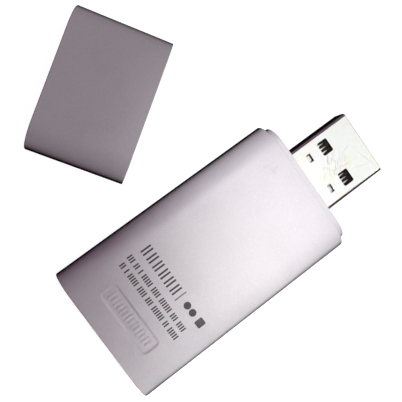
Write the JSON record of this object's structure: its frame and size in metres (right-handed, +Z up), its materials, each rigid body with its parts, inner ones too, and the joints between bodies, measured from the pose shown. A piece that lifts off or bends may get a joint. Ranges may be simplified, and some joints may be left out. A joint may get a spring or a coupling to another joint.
{
  "type": "air conditioner wifi module",
  "caption": "Flat plug-in wireless module for an air conditioner: full-round moulded stick with a steel plug, and its pulled-off cap beside it.",
  "frame": {"origin": "middle of the stick's underside, on the surface that the stick and the cap rest on", "axes": "+X along the stick, out of the plug; +Z up, out of the face with the printed field; +Y to the side where the cap lies"},
  "size_m": [0.0553, 0.0583, 0.0088],
  "materials": {
    "shell_plastic": "pearl lilac-silver moulded plastic, satin gloss",
    "plug_steel": "nickel plated folded steel, bright",
    "core_plastic": "black moulded plastic",
    "contact_gold": "gold plated spring strip",
    "board": "green solder mask on glass laminate",
    "copper": "etched copper",
    "can_steel": "tinned sheet steel, satin",
    "chip_plastic": "black moulding compound",
    "ceramic": "ceramic with metal end caps",
    "tantalum_plastic": "yellow moulding compound"
  },
  "bodies": {
    "root": {"top_shell": "shell_plastic", "bottom_shell": "shell_plastic", "cap": "shell_plastic", "plug_shell": "plug_steel", "plug_core": "core_plastic", "contact_power": "contact_gold", "contact_data_minus": "contact_gold", "contact_data_plus": "contact_gold", "contact_ground": "contact_gold", "carrier_board": "board", "module_board": "board", "aerial_trace": "copper", "shield_can": "can_steel", "radio_chip": "chip_plastic", "flash_chip": "chip_plastic", "crystal": "can_steel", "matching_parts": "ceramic", "voltage_regulator": "chip_plastic", "tantalum_capacitors": "tantalum_plastic", "level_transistors": "chip_plastic", "surge_array": "chip_plastic", "ferrite_bead": "ceramic", "resettable_fuse": "ceramic", "chip_capacitors": "ceramic", "chip_resistors": "ceramic"}
  },
  "joints": []
}
